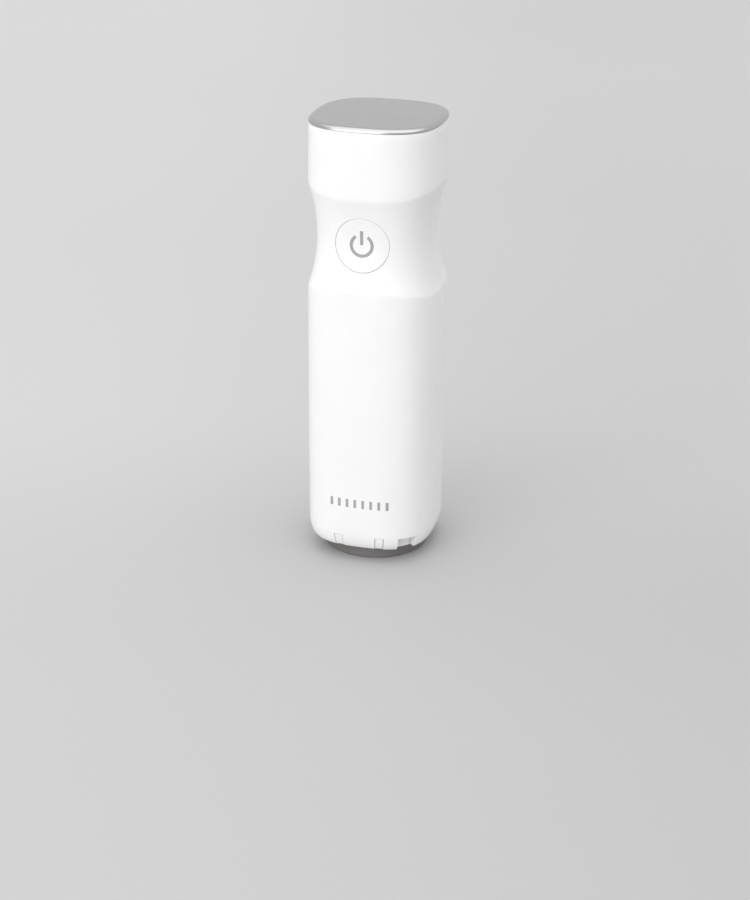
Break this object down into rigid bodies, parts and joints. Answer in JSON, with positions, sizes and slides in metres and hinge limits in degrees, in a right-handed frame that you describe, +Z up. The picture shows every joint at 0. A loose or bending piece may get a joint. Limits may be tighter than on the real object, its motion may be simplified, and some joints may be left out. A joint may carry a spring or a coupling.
{
  "type": "cordless vacuum-sealing pump",
  "caption": "Hand-held battery vacuum pump: white barrel with a concave waist and a push button, silver top plate, and a dark rubber suction seal in a notched foot.",
  "frame": {"origin": "centre of the suction seal's sole, where the pump stands", "axes": "+Z up along the body, -Y out of the push button, +Y out of the charging port"},
  "size_m": [0.054, 0.054, 0.1847],
  "materials": {
    "white_gloss": "white injection-moulded ABS, high gloss",
    "silver": "silver plate, satin",
    "seal_rubber": "dark grey silicone rubber, matt",
    "grey_plastic": "grey moulded plastic",
    "black_plastic": "black glass-filled nylon",
    "clear_plastic": "clear moulded plastic",
    "soft_silicone": "milky silicone",
    "filter_mesh": "fine woven nylon mesh",
    "steel": "plated steel",
    "copper": "wound copper on a steel core",
    "magnet": "sintered ferrite",
    "board_green": "glass-epoxy board with solder mask",
    "cell_wrap": "blue shrink wrap over a lithium cell",
    "lead_red": "PVC insulation",
    "lead_black": "PVC insulation"
  },
  "bodies": {
    "pump_unit": {"housing": "white_gloss", "top_cap": "silver", "cap_carrier": "grey_plastic", "button_guide": "grey_plastic", "base_plate": "grey_plastic", "inlet_filter": "filter_mesh", "suction_tube": "soft_silicone", "pump_head": "black_plastic", "head_gasket": "seal_rubber", "valve_plate": "grey_plastic", "diaphragm": "seal_rubber", "cylinder_block": "black_plastic", "pump_case": "black_plastic", "motor_can": "steel", "magnet_left": "magnet", "magnet_right": "magnet", "motor_endcap": "black_plastic", "motor_bracket": "grey_plastic", "chassis": "grey_plastic", "battery_cell": "cell_wrap", "battery_tab_top": "steel", "battery_tab_bottom": "steel", "control_board": "board_green", "switch_body": "black_plastic", "charge_board": "board_green", "usb_socket": "steel", "status_led": "clear_plastic", "light_pipe": "clear_plastic", "motor_lead_red": "lead_red", "motor_lead_black": "lead_black", "stack_screw_1": "steel", "stack_screw_2": "steel", "stack_screw_3": "steel", "stack_screw_4": "steel", "motor_screw_1": "steel", "motor_screw_2": "steel", "chassis_screw_1": "steel", "chassis_screw_2": "steel", "board_screw_1": "steel", "board_screw_2": "steel", "board_screw_3": "steel", "board_screw_4": "steel"},
    "button": {"button": "white_gloss"},
    "switch_stem": {"switch_stem": "grey_plastic"},
    "rotor": {"motor_shaft": "steel", "armature": "copper", "commutator": "copper", "eccentric": "grey_plastic", "drive_pin": "steel"},
    "yoke": {"wobble_yoke": "grey_plastic"},
    "valve": {"umbrella_valve": "soft_silicone"},
    "foot_ring": {"base_ring": "white_gloss"},
    "seal": {"seal": "seal_rubber"}
  },
  "joints": [
    {"name": "button_press", "type": "slide", "parent": "pump_unit", "child": "button", "axis": [0, 1, 0], "range_m": [0, 0.0007], "stiffness_N_per_m": 3500},
    {"name": "switch_press", "type": "slide", "parent": "pump_unit", "child": "switch_stem", "axis": [0, 1, 0], "range_m": [0, 0.0007], "stiffness_N_per_m": 200},
    {"name": "motor_spin", "type": "hinge", "parent": "pump_unit", "child": "rotor", "pos_m": [0, 0, 0.058], "axis": [0, 0, 1], "continuous": true},
    {"name": "yoke_wobble", "type": "hinge", "parent": "rotor", "child": "yoke", "pos_m": [0, 0, 0.042], "axis": [0.1392, 0, 0.9903], "continuous": true},
    {"name": "valve_lift", "type": "slide", "parent": "pump_unit", "child": "valve", "axis": [0, 0, -1], "range_m": [0, 0.0004], "stiffness_N_per_m": 100},
    {"name": "ring_pull", "type": "slide", "parent": "pump_unit", "child": "foot_ring", "axis": [0, 0, -1], "range_m": [0, 0.012]},
    {"name": "seal_pull", "type": "slide", "parent": "foot_ring", "child": "seal", "axis": [0, 0, -1], "range_m": [0, 0.008]}
  ],
  "couplings": [
    {"joint": "switch_press", "follows": "button_press", "ratio": 1},
    {"joint": "yoke_wobble", "follows": "motor_spin", "ratio": -1}
  ]
}
